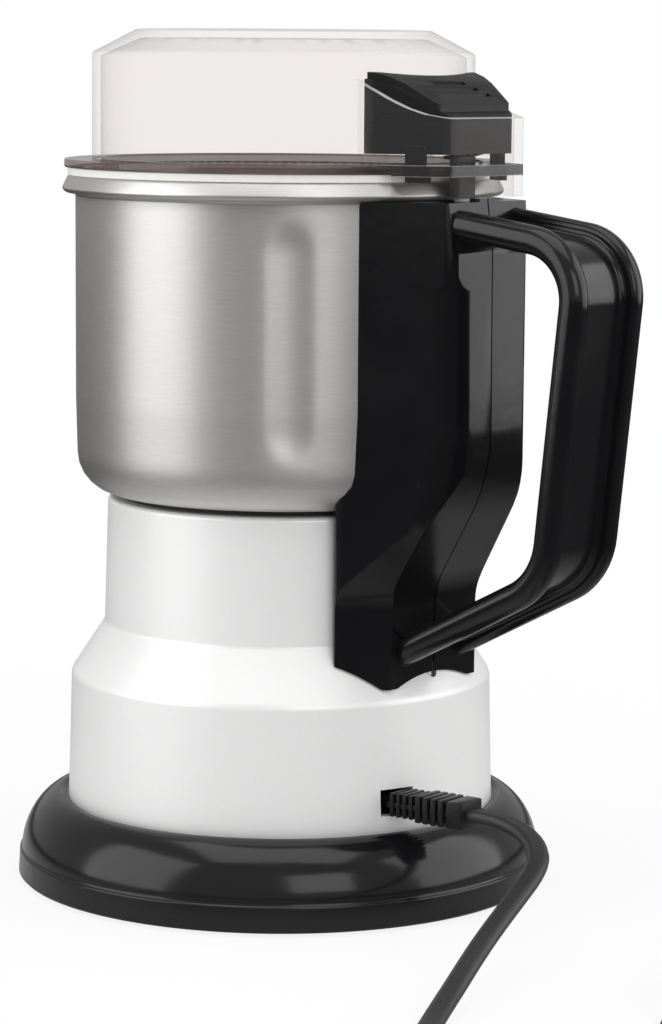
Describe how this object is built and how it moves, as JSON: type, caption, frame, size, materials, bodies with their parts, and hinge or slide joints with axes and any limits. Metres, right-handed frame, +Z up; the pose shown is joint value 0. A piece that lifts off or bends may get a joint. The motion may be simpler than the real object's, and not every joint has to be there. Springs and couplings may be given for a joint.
{
  "type": "electric spice grinder",
  "caption": "Upright spice grinder: lift-off steel jar with a side handle on a motor base, and a clear lid with a sloping press button.",
  "frame": {"origin": "on the standing plane, on the common axis of the motor, the jar and the lid", "axes": "+Z up; +X from the axis towards the handle"},
  "size_m": [0.2855, 0.1753, 0.216],
  "materials": {
    "black_gloss": "gloss moulded black plastic",
    "silver_paint": "satin silver-white paint on a moulded shell",
    "steel_brushed": "steel brushed round its circumference",
    "clear_plastic": "clear plastic with a faint smoke tint",
    "white_rubber": "translucent white silicone",
    "black_rubber": "soft black rubber",
    "button_black": "fine-textured black plastic",
    "cord_black": "smooth satin black cord cover",
    "base_black": "textured black plastic",
    "steel_bright": "bright steel",
    "zinc": "bright zinc plate",
    "core_steel": "bare stacked steel sheets",
    "copper_wire": "lacquered copper wire",
    "copper": "turned copper bars",
    "bronze": "sintered bronze",
    "natural_plastic": "natural moulded plastic",
    "brown_plastic": "brown heat-resistant plastic",
    "grey_plastic": "dark grey plastic",
    "carbon": "pressed carbon",
    "spring_steel": "bright spring wire",
    "lead_red": "insulated wire",
    "seal_red": "red-brown silicone"
  },
  "bodies": {
    "base": {"base_ring": "black_gloss", "base_plate": "base_black", "rubber_foot": "black_rubber", "base_screws": "zinc", "motor_housing": "silver_paint", "seat_ring": "black_rubber", "stator_core": "core_steel", "field_coils": "copper_wire", "upper_bracket": "zinc", "lower_bracket": "zinc", "upper_bearing": "bronze", "lower_bearing": "bronze", "brush_holders": "brown_plastic", "carbon_brushes": "carbon", "brush_springs": "spring_steel", "motor_screws": "zinc", "mount_screws": "zinc", "microswitch": "grey_plastic", "switch_screws": "zinc", "inner_leads": "lead_red", "strain_relief": "button_black", "supply_cord": "cord_black", "cord_coil": "cord_black", "cord_tail": "cord_black", "plug_body": "cord_black", "plug_pins": "steel_bright"},
    "rotor": {"motor_shaft": "steel_bright", "armature_core": "core_steel", "armature_winding": "copper_wire", "commutator": "copper", "cooling_fan": "natural_plastic", "drive_coupling": "base_black"},
    "switch_pin": {"switch_pin": "natural_plastic"},
    "jar": {"grinding_bowl": "steel_brushed", "bowl_bush": "base_black", "bush_nut": "zinc", "shaft_seal": "seal_red", "bowl_studs": "steel_bright", "stud_nuts": "zinc", "handle_right": "black_gloss", "handle_left": "black_gloss", "handle_screws": "zinc", "rod_spring": "spring_steel"},
    "blade": {"blade_shaft": "steel_bright", "blade_washer": "steel_bright", "cutting_blade": "steel_bright", "blade_nut": "steel_bright", "driven_coupling": "base_black"},
    "push_rod": {"push_rod": "natural_plastic"},
    "lid": {"lid_cover": "clear_plastic", "lid_gasket": "white_rubber", "button_spring": "spring_steel"},
    "button": {"lid_button": "button_black"}
  },
  "joints": [
    {"name": "rotor_spin", "type": "hinge", "parent": "base", "child": "rotor", "pos_m": [0, 0, 0], "axis": [0, 0, 1], "continuous": true},
    {"name": "switch_press", "type": "slide", "parent": "base", "child": "switch_pin", "axis": [0, 0, -1], "range_m": [0, 0.0025], "stiffness_N_per_m": 80, "springref_m": -0.003},
    {"name": "jar_lift", "type": "slide", "parent": "base", "child": "jar", "axis": [0, 0, 1], "range_m": [0, 0.06]},
    {"name": "blade_spin", "type": "hinge", "parent": "jar", "child": "blade", "pos_m": [0, 0, 0.1], "axis": [0, 0, 1], "continuous": true},
    {"name": "rod_press", "type": "slide", "parent": "jar", "child": "push_rod", "axis": [0, 0, -1], "range_m": [0, 0.0025], "stiffness_N_per_m": 500, "springref_m": -0.003, "deforming": ["rod_spring"]},
    {"name": "lid_lift", "type": "slide", "parent": "jar", "child": "lid", "axis": [0, 0, 1], "range_m": [0, 0.05]},
    {"name": "button_press", "type": "slide", "parent": "lid", "child": "button", "axis": [0, 0, -1], "range_m": [0, 0.0025], "stiffness_N_per_m": 600, "springref_m": -0.003, "deforming": ["button_spring"]}
  ],
  "couplings": [
    {"joint": "blade_spin", "follows": "rotor_spin", "ratio": 1},
    {"joint": "rod_press", "follows": "button_press", "ratio": 1},
    {"joint": "switch_press", "follows": "button_press", "ratio": 1}
  ]
}
